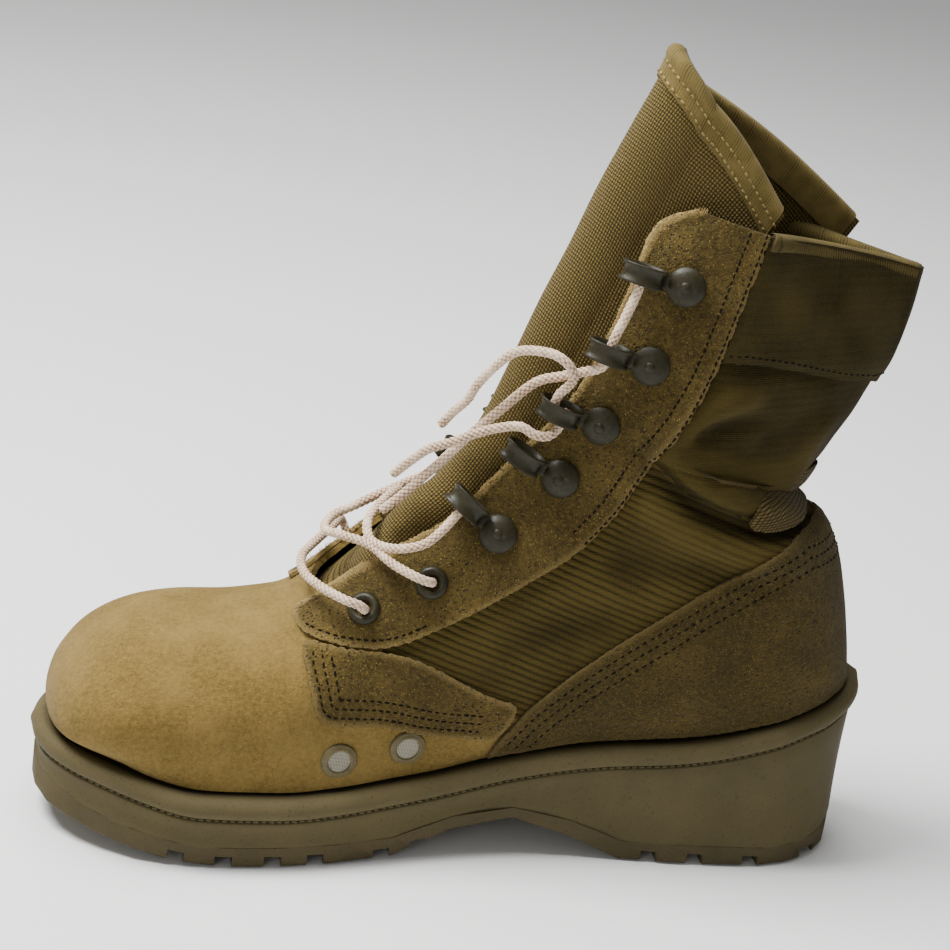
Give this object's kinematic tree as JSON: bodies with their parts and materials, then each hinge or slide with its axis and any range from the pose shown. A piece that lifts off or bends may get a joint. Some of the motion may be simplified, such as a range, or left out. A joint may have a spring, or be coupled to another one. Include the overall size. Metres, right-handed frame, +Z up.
{
  "type": "combat boot",
  "caption": "Right lace-up combat boot in suede and nylon with a slack shaft, tall cloth tongue, speed hooks and a one-piece moulded sole with a wedge-cut heel.",
  "frame": {"origin": "on the floor under the middle of the heel", "axes": "-X towards the toe, +Y towards the outer side, +Z up"},
  "size_m": [0.3, 0.1058, 0.287],
  "materials": {
    "moulded sole": "matt",
    "suede": "napped",
    "nylon": "woven",
    "painted metal": "satin",
    "lace cord": "braided"
  },
  "bodies": {
    "root": {"outsole": "moulded sole", "midsole": "moulded sole", "insole": "nylon", "upper": "suede", "eyestay_inner": "suede", "eyestay_outer": "suede", "quarter_tab_inner": "suede", "quarter_tab_outer": "suede", "heel_counter": "suede", "heel_strip": "nylon", "cuff": "nylon", "tongue": "nylon", "eyelet_inner_1": "painted metal", "eyelet_inner_2": "painted metal", "eyelet_outer_1": "painted metal", "eyelet_outer_2": "painted metal", "hook_inner_1": "painted metal", "hook_inner_2": "painted metal", "hook_inner_3": "painted metal", "hook_inner_4": "painted metal", "hook_inner_5": "painted metal", "hook_outer_1": "painted metal", "hook_outer_2": "painted metal", "hook_outer_3": "painted metal", "hook_outer_4": "painted metal", "hook_outer_5": "painted metal", "vent_1": "painted metal", "vent_2": "painted metal", "lace_crossings": "lace cord", "lace_bar": "lace cord", "lace_run": "lace cord", "lace_end_low": "lace cord", "lace_end_high": "lace cord"}
  },
  "joints": []
}
